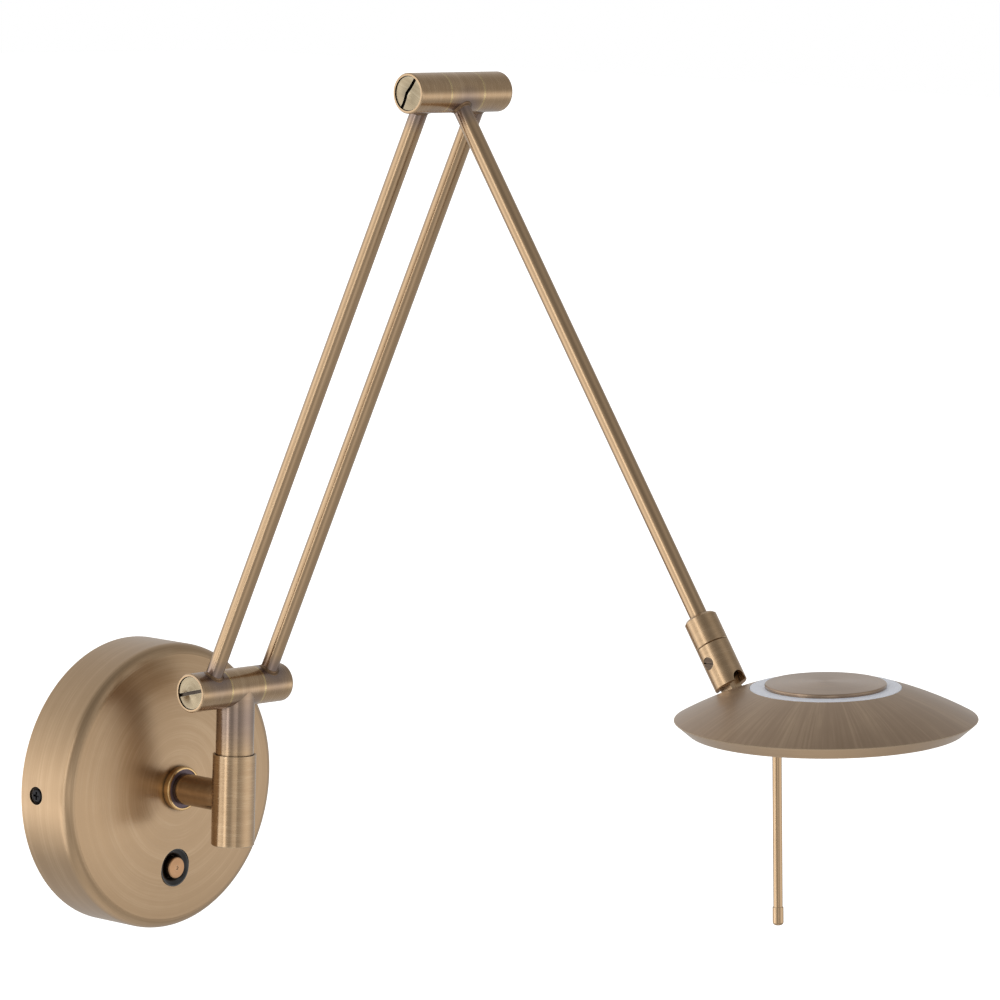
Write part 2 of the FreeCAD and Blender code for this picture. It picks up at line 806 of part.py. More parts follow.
def make_sleeve():
    outer = sleeve_outer
    bore = sleeve_bore
    sleeve = turned(
        "swivel_sleeve",
        POST,
        [
            (bore, -s.sleeve_bottom),
            (outer, -s.sleeve_bottom),
            (outer, s.sleeve_top),
            (recess_radius, s.sleeve_top),
            (recess_radius, bush_top),
            (bore, bush_top),
        ],
    )
    dress(sleeve, "Chamfer", edges_at(sleeve, ring_edge(outer, -s.sleeve_bottom)), 0.4)
    drill(sleeve, "XZ", (0, 0), s.stub_diameter / 2 + s.fit_gap, 2 * outer)
    ring("sleeve_cap", POST, 0, bore - s.fit_gap, 0.3 - s.sleeve_bottom, sleeve_cap_top)
    running = post_spigot + s.running_gap
    bush_outer = bore - s.fit_gap
    half_stub = s.stub_diameter / 2
    turned(
        "sleeve_upper_bush",
        POST,
        [
            (running, half_stub + 1.5),
            (bush_outer, half_stub + 1.5),
            (bush_outer, bush_top + 0.02),
            (recess_radius - s.fit_gap, bush_top + 0.02),
            (recess_radius - s.fit_gap, bush_top + bush_flange),
            (running, bush_top + bush_flange),
        ],
    )
    ring("sleeve_lower_bush", POST, running, bush_outer, clip_groove_top + 0.1, -half_stub - 1)


def make_post():
    axis_height = s.lower_pivot_height
    post = turned(
        "post_tee",
        POST,
        [
            (0, spigot_end),
            (post_spigot, spigot_end),
            (post_spigot, clip_groove_low),
            (post_spigot - 0.8, clip_groove_low),
            (post_spigot - 0.8, clip_groove_top),
            (post_spigot, clip_groove_top),
            (post_spigot, shoulder),
            (post_radius, shoulder),
            (post_radius, axis_height),
            (0, axis_height),
        ],
    )
    barrel = new_sketch(post, "YZ")
    circle(barrel, (0, axis_height), barrel_radius)
    extrude(post, "Pad", barrel, 2 * half_middle, symmetric=True)
    bush_radius = s.pivot_diameter / 2 + s.pivot_bush_wall + s.fit_gap
    drill(post, "YZ", (0, axis_height), bush_radius, 4 * half_middle, symmetric=True)
    drill(post, "XY", (0, 0), s.post_bore / 2, 2 * axis_height, start=axis_height)
    drill(post, "XZ", (0, 0), s.post_bore / 2, s.barrel_diameter)
    ring(
        "post_clip", POST, post_spigot - 0.78, sleeve_bore - 0.5,
        clip_groove_low + 0.05, clip_groove_top - 0.05,
    )
    lead_low = -s.lead_diameter / 2
    lead_high = axis_height - s.pivot_diameter / 2 - 0.6
    ring("post_lead", POST, 0, s.lead_diameter / 2, lead_low, lead_high)


# --- elbow barrels: three segments on a hollow tube, drawn up by a slotted screw ---
half_middle = post_radius + s.middle_margin
end_start = half_middle + 2 * s.face_gap + s.washer_thickness
rod_offset = end_start + s.rod_margin + s.rod_diameter / 2
half_barrel = rod_offset + s.rod_diameter / 2 + s.barrel_end
tube_radius = s.pivot_diameter / 2
head_recess = barrel_radius - s.screw_lip
screw_head = head_recess - s.screw_gap
head_seat = half_barrel - 2.6
tube_left = head_seat - 1
tube_right = half_barrel - 5


def make_barrel_ends(place_name, frame, rods_up):
    """The two outer segments, which carry the lower rods on their upper or lower side."""
    bore = tube_radius + s.fit_gap
    left = turned(
        place_name + "_barrel_left_end",
        frame,
        [
            (-half_barrel, head_recess),
            (-head_seat, head_recess),
            (-head_seat, bore),
            (-end_start, bore),
            (-end_start, barrel_radius),
            (-half_barrel, barrel_radius),
        ],
        "H_Axis",
    )
    dress(left, "Chamfer", edges_at(left, end_edge(-half_barrel, barrel_radius)), 0.4)
    right = turned(
        place_name + "_barrel_right_end",
        frame,
        [
            (end_start, bore),
            (tube_right + 0.3, bore),
            (tube_right + 0.3, 0),
            (half_barrel, 0),
            (half_barrel, barrel_radius),
            (end_start, barrel_radius),
        ],
        "H_Axis",
    )
    closed_end = edges_at(right, end_edge(half_barrel, barrel_radius))
    dress(right, "Fillet", closed_end, s.barrel_round)
    rod_hole = s.rod_diameter / 2 + s.fit_gap
    for body, side in ((left, -1), (right, 1)):
        centre = (side * rod_offset, 0)
        drill(body, "XY", centre, rod_hole, s.barrel_diameter, backwards=rods_up)


def make_pivot_tube(frame):
    """Hollow pivot with side windows for the leads."""
    tube = ring(
        "pivot_tube", frame, s.pivot_bore / 2, tube_radius, -tube_left, tube_right, "H_Axis"
    )
    for across in (-rod_offset, 0):
        drill(tube, "XY", (across, 0), s.pivot_bore / 2 - 0.4, s.barrel_diameter, symmetric=True)
    return tube


def make_pivot_screw(frame):
    """Slotted screw with a raised head; its shank draws the pivot tube to the left."""
    edge_start = -(head_seat + 0.6)
    edge_end = edge_start - s.screw_head_edge
    dome_radius = (screw_head * screw_head + s.screw_head_dome * s.screw_head_dome) / (
        2 * s.screw_head_dome
    )
    shank = s.pivot_bore / 2 - s.fit_gap
    screw = turned(
        "pivot_screw",
        frame,
        [
            (edge_end - s.screw_head_dome, 0),
            (edge_start + 5.5, 0),
            (edge_start + 5.5, shank),
            (edge_start, shank),
            (edge_start, screw_head),
            (edge_end, screw_head),
        ],
        "H_Axis",
        arcs={5: -dome_radius},
    )
    slot = new_sketch(screw, "YZ", edge_end + s.slot_sink)
    rectangle(slot, -barrel_radius, barrel_radius, -s.screw_slot / 2, s.screw_slot / 2)
    cut(screw, slot, 5)
    return screw


def pair_of_rings(label, frame, inner, outer, near_end, far_end):
    """Two equal rings about X, one on each side of the middle."""
    left = ring(label, frame, inner, outer, -far_end, -near_end, "H_Axis")
    right = ring(label, frame, inner, outer, near_end, far_end, "H_Axis")
    return [left, right]


def make_pivot_bushes(place_name, frame):
    far_end = half_middle - 0.1
    near_end = far_end - s.pivot_bush_length
    outer = tube_radius + s.pivot_bush_wall
    inner = tube_radius + s.running_gap
    group(place_name + "_pivot_bushes", pair_of_rings("bush", frame, inner, outer, near_end, far_end))


def make_pivots():
    """What draws both elbows together: tubes, screws, friction washers and spring washers."""
    tubes, screws, washers, springs = [], [], [], []
    for frame, slot_angle in ((LOWER_ARM, -39), (LOWER_ARM_END, 95.5)):
        tubes.append(make_pivot_tube(frame))
        screws.append(make_pivot_screw(frame.turned((1, 0, 0), slot_angle)))
        start = half_middle + s.face_gap
        end = start + s.washer_thickness
        washers += pair_of_rings("washer", frame, tube_radius + 0.1, barrel_radius, start, end)
        inner = s.pivot_bore / 2 + 0.15
        outer = screw_head - 0.9
        low, high = -(head_seat + 0.58), -(head_seat + 0.02)
        springs.append(ring("spring_washer", frame, inner, outer, low, high, "H_Axis"))
    group("pivot_tubes", tubes)
    group("pivot_screws", screws)
    group("friction_washers", washers)
    group("spring_washers", springs)


# --- arms ---
def make_lower_arm():
    start = tube_radius + 0.4
    for name, side in (("left", -1), ("right", 1)):
        frame = LOWER_ARM.moved(x=side * rod_offset)
        ring(
            f"lower_{name}_rod", frame, s.rod_bore / 2, s.rod_diameter / 2, start,
            s.lower_length - start,
        )
    lead_start = start + 0.6
    ring(
        "lower_arm_lead", LOWER_ARM.moved(x=-rod_offset), 0, s.lead_diameter / 2, lead_start,
        s.lower_length - lead_start,
    )


def make_upper_arm():
    bush_radius = tube_radius + s.pivot_bush_wall
    bore = bush_radius + s.fit_gap
    middle = ring(
        "upper_barrel_middle", UPPER_ARM, bore, barrel_radius, -half_middle, half_middle, "H_Axis"
    )
    rod_hole = s.rod_diameter / 2 + s.fit_gap
    drill(middle, "XY", (0, 0), rod_hole, s.barrel_diameter, backwards=True)
    start = bush_radius + 0.3
    ring("upper_rod", UPPER_ARM, s.rod_bore / 2, s.rod_diameter / 2, start, rod_end)
    ring("upper_arm_lead", UPPER_ARM, 0, s.lead_diameter / 2, start + 0.5, rod_end + 0.5)


# --- knuckle: a swivel about the rod, then a tilt hinge across it ---
knuckle_radius = s.knuckle_diameter / 2
knuckle_seam = s.upper_length - s.fork_above
collar_start = knuckle_seam - s.collar_length
spigot_radius = s.swivel_spigot / 2
chamber_radius = spigot_radius + 1
ledge = knuckle_seam - 4.9
spigot_start = ledge - 2.6
rod_end = spigot_start - 1.45


def make_knuckle_collar():
    collar = turned(
        "knuckle_collar",
        UPPER_ARM,
        [
            (chamber_radius, collar_start),
            (knuckle_radius, collar_start),
            (knuckle_radius, knuckle_seam),
            (spigot_radius + s.running_gap, knuckle_seam),
            (spigot_radius + s.running_gap, ledge),
            (chamber_radius, ledge),
        ],
    )
    dress(collar, "Chamfer", edges_at(collar, ring_edge(knuckle_radius, collar_start)), 0.9)
    dress(collar, "Chamfer", edges_at(collar, ring_edge(knuckle_radius, knuckle_seam)), s.seam_bevel)
    ring(
        "rod_end_bush", UPPER_ARM, s.rod_diameter / 2 + s.fit_gap, chamber_radius - s.fit_gap,
        collar_start, rod_end,
    )


fork_top = 2 * s.face_gap - s.fork_above
fork_low = s.fork_below
cheek_gap = 0.1
slot_half = s.tongue_thickness / 2 + cheek_gap
slot_back = knuckle_radius - s.fork_wall
slot_start = -(s.tongue_width / 2 + 1)


def make_knuckle_fork():
    """The fork hangs in the collar by its spigot; its slot is open below and on the wall side."""
    spigot_top = spigot_start - s.upper_length
    groove_top = spigot_top + 0.7
    groove_low = groove_top + 1
    fork = turned(
        "knuckle_fork",
        KNUCKLE,
        [
            (0, spigot_top),
            (spigot_radius, spigot_top),
            (spigot_radius, groove_top),
            (spigot_radius - 0.6, groove_top),
            (spigot_radius - 0.6, groove_low),
            (spigot_radius, groove_low),
            (spigot_radius, fork_top),
            (knuckle_radius, fork_top),
            (knuckle_radius, fork_low),
            (0, fork_low),
        ],
    )
    dress(fork, "Chamfer", edges_at(fork, ring_edge(knuckle_radius, fork_low)), 0.3)
    dress(fork, "Chamfer", edges_at(fork, ring_edge(knuckle_radius, fork_top)), s.seam_bevel)
    slot = new_sketch(fork, "XY", slot_start)
    rectangle(slot, -slot_half, slot_half, -s.knuckle_diameter, slot_back)
    cut(fork, slot, s.knuckle_diameter + fork_low, backwards=True)
    notch_straight = fork_low - s.notch_height + slot_half
    notch = new_sketch(fork, "XZ", 0)
    rectangle(notch, -slot_half, slot_half, notch_straight, fork_low + 2)
    cut(fork, notch, s.knuckle_diameter)
    drill(fork, "XZ", (0, notch_straight), slot_half, s.knuckle_diameter)
    drill(fork, "XY", (0, 0), s.rod_bore / 2, s.knuckle_diameter + 10)
    head_hole = s.tilt_head / 2 + 0.1
    drill(fork, "YZ", (0, 0), head_hole, s.knuckle_diameter, start=1.9 - knuckle_radius)
    shank_hole = s.tilt_thread / 2 + s.fit_gap
    drill(fork, "YZ", (0, 0), shank_hole, s.knuckle_diameter, start=knuckle_radius - 0.8)
    clip_top = groove_top + 0.05
    ring(
        "knuckle_clip", KNUCKLE, spigot_radius - 0.58, chamber_radius - 0.15, clip_top,
        groove_low - 0.05,
    )
    make_tilt_screw()


def make_tilt_screw():
    head_end = -knuckle_radius + 0.35
    head_start = -knuckle_radius + 1.85
    screw = turned(
        "tilt_screw",
        KNUCKLE.turned((1, 0, 0), 30),
        [
            (head_end, 0),
            (knuckle_radius - 1, 0),
            (knuckle_radius - 1, s.tilt_thread / 2),
            (head_start, s.tilt_thread / 2),
            (head_start, s.tilt_head / 2),
            (head_end, s.tilt_head / 2),
        ],
        "H_Axis",
    )
    slot = new_sketch(screw, "YZ", head_end + 0.6)
    rectangle(slot, -s.tilt_head, s.tilt_head, -0.35, 0.35)
    cut(screw, slot, 3)


# --- head, seen from its own frame: crease at z = 0, knuckle towards +Y ---
cap_radius = s.cap_diameter / 2
opening_radius = cap_radius + s.ring_width
shell_run = head_radius - opening_radius
shell_slope = s.shell_height / shell_run
shell_chord = root(shell_run * shell_run + s.shell_height * s.shell_height)
shell_arc = (shell_chord * shell_chord / 4 + s.shell_bulge * s.shell_bulge) / (2 * s.shell_bulge)
cone_rise = s.shell_wall * shell_chord / shell_run
cap_edge = s.shell_height + s.cap_rise
cap_low = cap_edge - s.cap_sheet
bezel_rim = head_radius - s.bezel_inset
light_radius = bezel_rim - s.bezel_lip
tongue_drop = s.pivot_to_crease + s.tongue_sink - shell_slope * s.pivot_inset
tongue_length = tongue_drop / (cosine(s.tongue_lean) + shell_slope * sine(s.tongue_lean))

# heights under the shell, upwards from the bezel's flat edge
ledge_top = 1.3 - s.bezel_height
disc_top = ledge_top + 1
spreader_low = disc_top + 2
spreader_top = spreader_low + 1.4
spreader_radius = head_radius - (spreader_top + cone_rise + 0.32) / shell_slope
diffuser_radius = bezel_rim - 1


def make_tongue():
    """Brass tongue from the tilt screw to the shell, leaning to the head's centre."""
    frame = TILT.turned((1, 0, 0), -s.tongue_lean)
    tongue = new_body("head_tongue", frame)
    half = s.tongue_width / 2
    strip = new_sketch(tongue, "YZ")
    rectangle(strip, -half, half, -tongue_length, 0)
    extrude(tongue, "Pad", strip, s.tongue_thickness, symmetric=True)
    eye = new_sketch(tongue, "YZ")
    circle(eye, (0, 0), half)
    extrude(tongue, "Pad", eye, s.tongue_thickness, symmetric=True)
    bore = s.tilt_thread / 2 + s.running_gap
    drill(tongue, "YZ", (0, 0), bore, 2 * s.tongue_thickness, symmetric=True)
    lead_radius = s.lead_diameter / 4
    lead_top = -s.tongue_width / 2 - 1.2
    drill(tongue, "XY", (0, 0), lead_radius + 0.2, tongue_length, start=lead_top)
    ring("head_lead", frame, 0, lead_radius, -tongue_length - 1.6, lead_top - 0.3)


def tongue_corner(across, along):
    """A point of the tongue's side outline, in the head's Y and Z."""
    y = pivot_to_centre + across * cosine(s.tongue_lean) - along * sine(s.tongue_lean)
    z = s.pivot_to_crease - across * sine(s.tongue_lean) - along * cosine(s.tongue_lean)
    return (y, z)


def make_top_shell():
    inner_low = 0.6
    inner_start = head_radius - (inner_low + cone_rise) * shell_run / s.shell_height
    shell = turned(
        "head_top_shell",
        HEAD,
        [
            (inner_start, 0.02),
            (head_radius, 0.02),
            (opening_radius, s.shell_height),
            (opening_radius, s.shell_height - cone_rise),
            (inner_start, inner_low),
        ],
        arcs={1: shell_arc, 3: -(shell_arc - s.shell_wall)},
    )
    gap = s.tongue_width / 2 + s.fit_gap
    slot = new_sketch(shell, "YZ")
    outline(
        slot,
        [
            tongue_corner(-gap, 4),
            tongue_corner(gap, 4),
            tongue_corner(gap, tongue_length + 5),
            tongue_corner(-gap, tongue_length + 5),
        ],
    )
    cut(shell, slot, s.tongue_thickness + 2 * s.fit_gap, symmetric=True)


def make_cap():
    """Round cap with the boss that the centre screw pulls down."""
    dome = (cap_radius * cap_radius + s.cap_dome * s.cap_dome) / (2 * s.cap_dome)
    cap = turned(
        "head_cap",
        HEAD,
        [
            (1.52, spreader_top + 0.05),
            (4, spreader_top + 0.05),
            (4, cap_low),
            (cap_radius, cap_low),
            (cap_radius, cap_edge),
            (0, cap_edge + s.cap_dome),
            (0, cap_low),
            (1.52, cap_low),
        ],
        arcs={4: dome},
    )
    dress(cap, "Fillet", edges_at(cap, ring_edge(cap_radius, cap_edge)), 0.5)
    screw_low = spreader_low - 1.6
    screw = turned(
        "cap_screw",
        HEAD,
        [
            (0, screw_low),
            (2.8, screw_low),
            (2.8, spreader_low - 0.02),
            (1.5, spreader_low - 0.02),
            (1.5, cap_low - 1),
            (0, cap_low - 1),
        ],
    )
    recess = new_sketch(screw, "XY", screw_low + 0.9)
    rectangle(recess, -0.4, 0.4, -2, 2)
    cut(screw, recess, 3)


def make_upper_diffuser():
    """Frosted ring between cap and shell; its skirt stands on the heat spreader."""
    inner = cap_radius - s.diffuser_tuck
    flange_top = s.shell_height - cone_rise - 1.6
    skirt = inner + 1.5
    turned(
        "upper_diffuser",
        HEAD,
        [
            (inner, spreader_top + 0.05),
            (skirt, spreader_top + 0.05),
            (skirt, flange_top - 1.2),
            (opening_radius + 2, flange_top - 1.2),
            (opening_radius + 2, flange_top),
            (opening_radius - 0.2, flange_top),
            (opening_radius - 0.2, s.shell_height + 0.1),
            (cap_radius, cap_low - 0.05),
            (inner, cap_low - 0.05),
        ],
    )


def add_chips(board, radius, face, times, chip_size, downwards):
    """LED chips on a board's face, evenly round the head's axis."""
    sketch = new_sketch(board, "XY", face)
    half = chip_size / 2
    rectangle(sketch, radius - half, radius + half, -half, half)
    pad = extrude(board, "Pad", sketch, 0.6, backwards=downwards)
    repeat_round(board, pad, sketch, times)


def make_lights():
    """Heat spreader with a board of LEDs on each side of it."""
    spreader = ring("heat_spreader", HEAD, 0, spreader_radius, spreader_low, spreader_top)
    drill(spreader, "XY", (0, 0), 1.6, 10, symmetric=True)
    drill(spreader, "XY", (0, s.pin_offset), s.pin_diameter / 2 + s.fit_gap, 10, symmetric=True)
    lead_y = pivot_to_centre - (s.pivot_to_crease - spreader_top + 1) * sine(s.tongue_lean) / cosine(
        s.tongue_lean
    )
    drill(spreader, "XY", (0, lead_y), 2.4, 10, symmetric=True)
    board_low = spreader_low - 1
    board_radius = spreader_radius - 7.6
    lower = ring("lower_led_board", HEAD, 4, board_radius, board_low, spreader_low - 0.02)
    drill(lower, "XY", (0, s.pin_offset), s.pin_diameter / 2 + 1.2, 10, symmetric=True)
    add_chips(lower, board_radius - 7, board_low, 16, 2.8, downwards=True)
    upper_radius = cap_radius - s.diffuser_tuck - 1.4
    upper = ring("upper_led_board", HEAD, 5.5, upper_radius, spreader_top + 0.02, spreader_top + 1)
    add_chips(upper, upper_radius - 3.4, spreader_top + 1, 12, 2.4, downwards=False)


def make_lower_side():
    """Bezel, frosted disc and the white ring that presses the spreader against the shell."""
    opening = light_radius
    bezel = turned(
        "lower_bezel",
        HEAD,
        [
            (opening, -s.bezel_height),
            (bezel_rim, -s.bezel_height),
            (head_radius, -0.02),
            (head_radius - 2.6, -0.02),
            (diffuser_radius + 0.1, ledge_top),
            (opening, ledge_top),
        ],
    )
    dress(bezel, "Fillet", edges_at(bezel, ring_edge(bezel_rim, -s.bezel_height)), 0.8)
    disc_outer = diffuser_radius - 0.6
    disc = ring("lower_diffuser", HEAD, 0, disc_outer, ledge_top + 0.02, disc_top)
    pin_hole = s.pin_diameter / 2 + 0.15
    drill(disc, "XY", (0, s.pin_offset), pin_hole, 20, symmetric=True)
    reflector = spreader_radius - 0.1
    ring("reflector_ring", HEAD, reflector - 2, reflector, disc_top + 0.02, spreader_low - 0.02)


def make_handle_pin():
    frame = HEAD.moved(y=s.pin_offset)
    radius = s.pin_diameter / 2
    tip_start = -s.pin_drop + s.pin_tip_length
    tip_radius = s.pin_tip_diameter / 2
    ring("handle_pin", frame, 0, radius, tip_start, spreader_top)
    tip = ring("handle_tip", frame, 0, tip_radius, -s.pin_drop, tip_start - 0.02)
    dress(tip, "Fillet", edges_at(tip, ring_edge(tip_radius, -s.pin_drop)), 1.2)


make_canopy_cover()
make_wall_bracket()
make_cable_grommet()
make_side_screws()
make_driver()
make_terminal_block()
make_switch()
make_stub_arm()
make_sleeve()
make_post()
make_barrel_ends("lower", LOWER_ARM, rods_up=True)
make_pivot_bushes("lower", POST.moved(z=s.lower_pivot_height))
make_barrel_ends("upper", LOWER_ARM_END, rods_up=False)
make_pivot_bushes("upper", UPPER_ARM)
make_pivots()
make_lower_arm()
make_upper_arm()
make_knuckle_collar()
make_knuckle_fork()
make_tongue()
make_top_shell()
make_cap()
make_upper_diffuser()
make_lights()
make_lower_side()
make_handle_pin()

doc.recompute()

for item in doc.Objects:
    if "Invalid" in item.State or "Error" in item.State:
        raise RuntimeError(f"{item.Label} did not build: {item.State}")
for node in nodes:
    if node.Shape.isNull() or not node.Shape.isValid() or not node.Shape.Solids:
        raise RuntimeError(f"{node.Label} has no valid solid")

os.makedirs("parts", exist_ok=True)
for node in nodes:
    node.Shape.exportStep(f"parts/{node.Label}.step")
    print(f"{node.Label}: {len(node.Shape.Solids)} solid(s), {node.Shape.Volume:.1f} mm3")
print(len(nodes), "sub-parts")
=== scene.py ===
import json
import math

import bmesh
import bpy
from mathutils import Matrix, Vector


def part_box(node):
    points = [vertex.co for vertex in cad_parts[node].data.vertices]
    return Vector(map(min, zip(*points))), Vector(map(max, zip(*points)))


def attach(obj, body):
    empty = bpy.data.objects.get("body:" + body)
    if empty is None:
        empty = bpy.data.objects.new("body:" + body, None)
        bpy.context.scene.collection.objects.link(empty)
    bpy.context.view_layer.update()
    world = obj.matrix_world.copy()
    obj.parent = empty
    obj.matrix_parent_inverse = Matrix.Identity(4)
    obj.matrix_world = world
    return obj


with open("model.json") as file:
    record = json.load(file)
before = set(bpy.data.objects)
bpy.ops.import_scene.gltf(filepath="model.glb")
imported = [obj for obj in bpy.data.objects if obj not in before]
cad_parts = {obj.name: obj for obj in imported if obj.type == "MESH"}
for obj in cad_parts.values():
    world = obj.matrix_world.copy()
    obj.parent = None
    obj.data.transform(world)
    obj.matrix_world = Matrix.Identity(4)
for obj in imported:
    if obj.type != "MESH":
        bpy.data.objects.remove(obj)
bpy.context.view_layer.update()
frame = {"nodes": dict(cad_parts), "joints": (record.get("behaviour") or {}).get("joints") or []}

# Swing arm wall sconce. Metres, in the frame of the CAD model: wall plane at y = 0, +Z up.
MM = 0.001
X_AXIS, Y_AXIS, Z_AXIS = Vector((1, 0, 0)), Vector((0, 1, 0)), Vector((0, 0, 1))
WALL_CENTRE = Vector((0, 0, 0))

# --- places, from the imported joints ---
joints = {joint["name"]: joint for joint in frame["joints"]}


def joint_place(name):
    return Vector(joints[name]["pos_m"])


def joint_axis(name):
    return Vector(joints[name]["axis"]).normalized()


post_place = joint_place("post_swivel")
lower_elbow = joint_place("lower_elbow")
upper_elbow = joint_place("upper_elbow")
tilt_place = joint_place("head_tilt")
lower_direction = (upper_elbow - lower_elbow).normalized()
upper_direction = joint_axis("head_swivel")
tilt_axis = joint_axis("head_tilt")
swivel_angle = math.atan2(X_AXIS.cross(tilt_axis).dot(upper_direction), X_AXIS.dot(tilt_axis))
head_axis = Matrix.Rotation(swivel_angle, 3, upper_direction) @ Z_AXIS


def middle_of(node):
    low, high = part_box(node)
    return (low + high) / 2


def half_width(node):
    low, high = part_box(node)
    return (high.x - low.x) / 2


head_place = middle_of("lower_diffuser")
pin_place = middle_of("handle_pin")
button_place = middle_of("button_cap")
rod_side = X_AXIS * abs(middle_of("lower_left_rod").x)
rod_radius = half_width("lower_left_rod")
low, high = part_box("upper_barrel_middle")
barrel_radius = (high.z - low.z) / 2


# --- shader building blocks ---
def srgb(red, green, blue):
    """A colour given as 0 to 255 display values, as linear RGBA."""
    def linear(value):
        value /= 255
        return value / 12.92 if value <= 0.04045 else ((value + 0.055) / 1.055) ** 2.4
    return (linear(red), linear(green), linear(blue), 1)


def add(tree, kind, values=None, **settings):
    """A node with its settings, and its inputs set to values or linked from sockets."""
    node = tree.nodes.new("ShaderNode" + kind)
    for name, value in settings.items():
        setattr(node, name, value)
    for name, value in (values or {}).items():
        socket = node.inputs[name]
        if isinstance(value, bpy.types.NodeSocket):
            tree.links.new(value, socket)
        else:
            socket.default_value = value
    return node


def calc(tree, operation, first, second=0.0, third=0.0):
    node = add(tree, "Math", {0: first, 1: second, 2: third}, operation=operation)
    return node.outputs[0]


def vector_calc(tree, operation, first, second=(0, 0, 0)):
    node = add(tree, "VectorMath", {0: first, 1: second}, operation=operation)
    return node.outputs["Value" if operation in ("DOT_PRODUCT", "LENGTH") else "Vector"]


def scaled(tree, vector, factor):
    node = add(tree, "VectorMath", {0: vector, "Scale": factor}, operation="SCALE")
    return node.outputs["Vector"]


def ramp(tree, value, low, high, to_low=0.0, to_high=1.0):
    values = {"Value": value, "From Min": low, "From Max": high}
    values.update({"To Min": to_low, "To Max": to_high})
    return add(tree, "MapRange", values, clamp=True).outputs["Result"]


def mix_colour(tree, amount, first, second):
    return add(tree, "Mix", {0: amount, 6: first, 7: second}, data_type="RGBA").outputs[2]


def mix_vector(tree, amount, first, second):
    return add(tree, "Mix", {0: amount, 4: first, 5: second}, data_type="VECTOR").outputs[1]


def noise(tree, vector, scale, detail, roughness=0.5):
    values = {"Vector": vector, "Scale": scale, "Detail": detail, "Roughness": roughness}
    return add(tree, "TexNoise", values).outputs["Fac"]


def new_material(name):
    material = bpy.data.materials.new(name)
    material.use_nodes = True
    tree = material.node_tree
    tree.nodes.clear()
    shader = add(tree, "BsdfPrincipled")
    add(tree, "OutputMaterial", {"Surface": shader.outputs[0]})
    return material, tree, shader


def object_point(tree):
    return add(tree, "TexCoord").outputs["Object"]


def turned_coordinates(tree, place, axis):
    """Height along an axis, distance from it, outward direction and direction around it."""
    away = vector_calc(tree, "SUBTRACT", object_point(tree), place)
    height = vector_calc(tree, "DOT_PRODUCT", away, axis)
    across = vector_calc(tree, "SUBTRACT", away, scaled(tree, axis, height))
    distance = vector_calc(tree, "LENGTH", across)
    outward = vector_calc(tree, "NORMALIZE", across)
    around = vector_calc(tree, "CROSS_PRODUCT", axis, outward)
    return height, distance, outward, around


# how much a unit step in each direction moves the point at which the grain's noise is read
TURN_STRETCH = 0.0008
ROD_TURN_STRETCH, ROD_LENGTH_STRETCH = 0.0035, 0.03
RAY_TURN_STRETCH, RAY_LENGTH_STRETCH = 0.05, 0.06


def brushing(tree, place, axis, direction):
    """Grain round an axis, along it or outwards from it, and the direction across the grain."""
    height, distance, outward, around = turned_coordinates(tree, place, axis)
    along = scaled(tree, axis, calc(tree, "ADD", height, distance))
    if direction == "around":
        point = vector_calc(tree, "ADD", scaled(tree, outward, TURN_STRETCH), along)
        normal = add(tree, "NewGeometry").outputs["Normal"]
        return point, vector_calc(tree, "CROSS_PRODUCT", around, normal)
    if direction == "lengthwise":
        stretched = scaled(tree, axis, calc(tree, "MULTIPLY", height, ROD_LENGTH_STRETCH))
        point = vector_calc(tree, "ADD", scaled(tree, outward, ROD_TURN_STRETCH), stretched)
        return point, around
    rays = scaled(tree, outward, RAY_TURN_STRETCH)
    return vector_calc(tree, "ADD", rays, scaled(tree, along, RAY_LENGTH_STRETCH)), around


EDGE_START, EDGE_FULL = 0.995, 0.85  # cosines between the true normal and the rounded one
RECESS_START, RECESS_FULL = 0.82, 0.3  # shares of the surface's surroundings that are open
TINT_CORE = 0.4  # share of the reach inside which a place counts as fully near


def edge_mask(tree, radius):
    """1 on sharp edges, found by comparing the true normal with a rounded one."""
    rounded = add(tree, "Bevel", {"Radius": radius}, samples=4).outputs[0]
    normal = add(tree, "NewGeometry").outputs["Normal"]
    return ramp(tree, vector_calc(tree, "DOT_PRODUCT", rounded, normal), EDGE_START, EDGE_FULL)


def recess_mask(tree, reach):
    """1 deep in corners, slots and seams, 0 on open faces: where patina and painted shade darken
    the brass.
    """
    open_share = add(tree, "AmbientOcclusion", {"Distance": reach}, samples=6).outputs["AO"]
    return ramp(tree, open_share, RECESS_START, RECESS_FULL)


def nearness(tree, places, reach):
    """1 at any of some places, fading to 0 at the reach from them."""
    point = object_point(tree)
    nearest = reach
    for place in places:
        away = vector_calc(tree, "LENGTH", vector_calc(tree, "SUBTRACT", point, place))
        nearest = calc(tree, "MINIMUM", away, nearest)
    return ramp(tree, nearest, reach, TINT_CORE * reach)


# --- antique brass: dark patina and painted shade in the recesses, brushed through, bright on its edges ---
# the dark of the patina, and of the painted shade in recesses and slots
DEEP_PATINA_AND_SHADE = srgb(44, 34, 30)
PATINA_DARK = srgb(170, 141, 107)
PATINA_MIDDLE = srgb(200, 171, 137)
PATINA_LIGHT = srgb(230, 206, 171)
# the grey of the painted shade round where the rods and the post meet the barrels
JOINT_SHADE_GREY = srgb(132, 118, 118)
FINE_SHARE, BROAD_SHARE, CLOUD_SHARE = 0.45, 0.35, 0.2  # of the tone, they add up to 1
CLOUD_SCALE = 38.0
TONE_SPREAD = 0.11
SHINE_SPREAD = 0.15
SHINE_STRENGTH = 0.6
EDGE_REACH, EDGE_STRENGTH = 0.35 * MM, 0.75
JOINT_SHADE_STRENGTH = 0.75
RECESS_STRENGTH = 0.9
COAT_WEIGHT, COAT_ROUGHNESS = 0.35, 0.18
GRAIN_DEPTH = 0.05 * MM


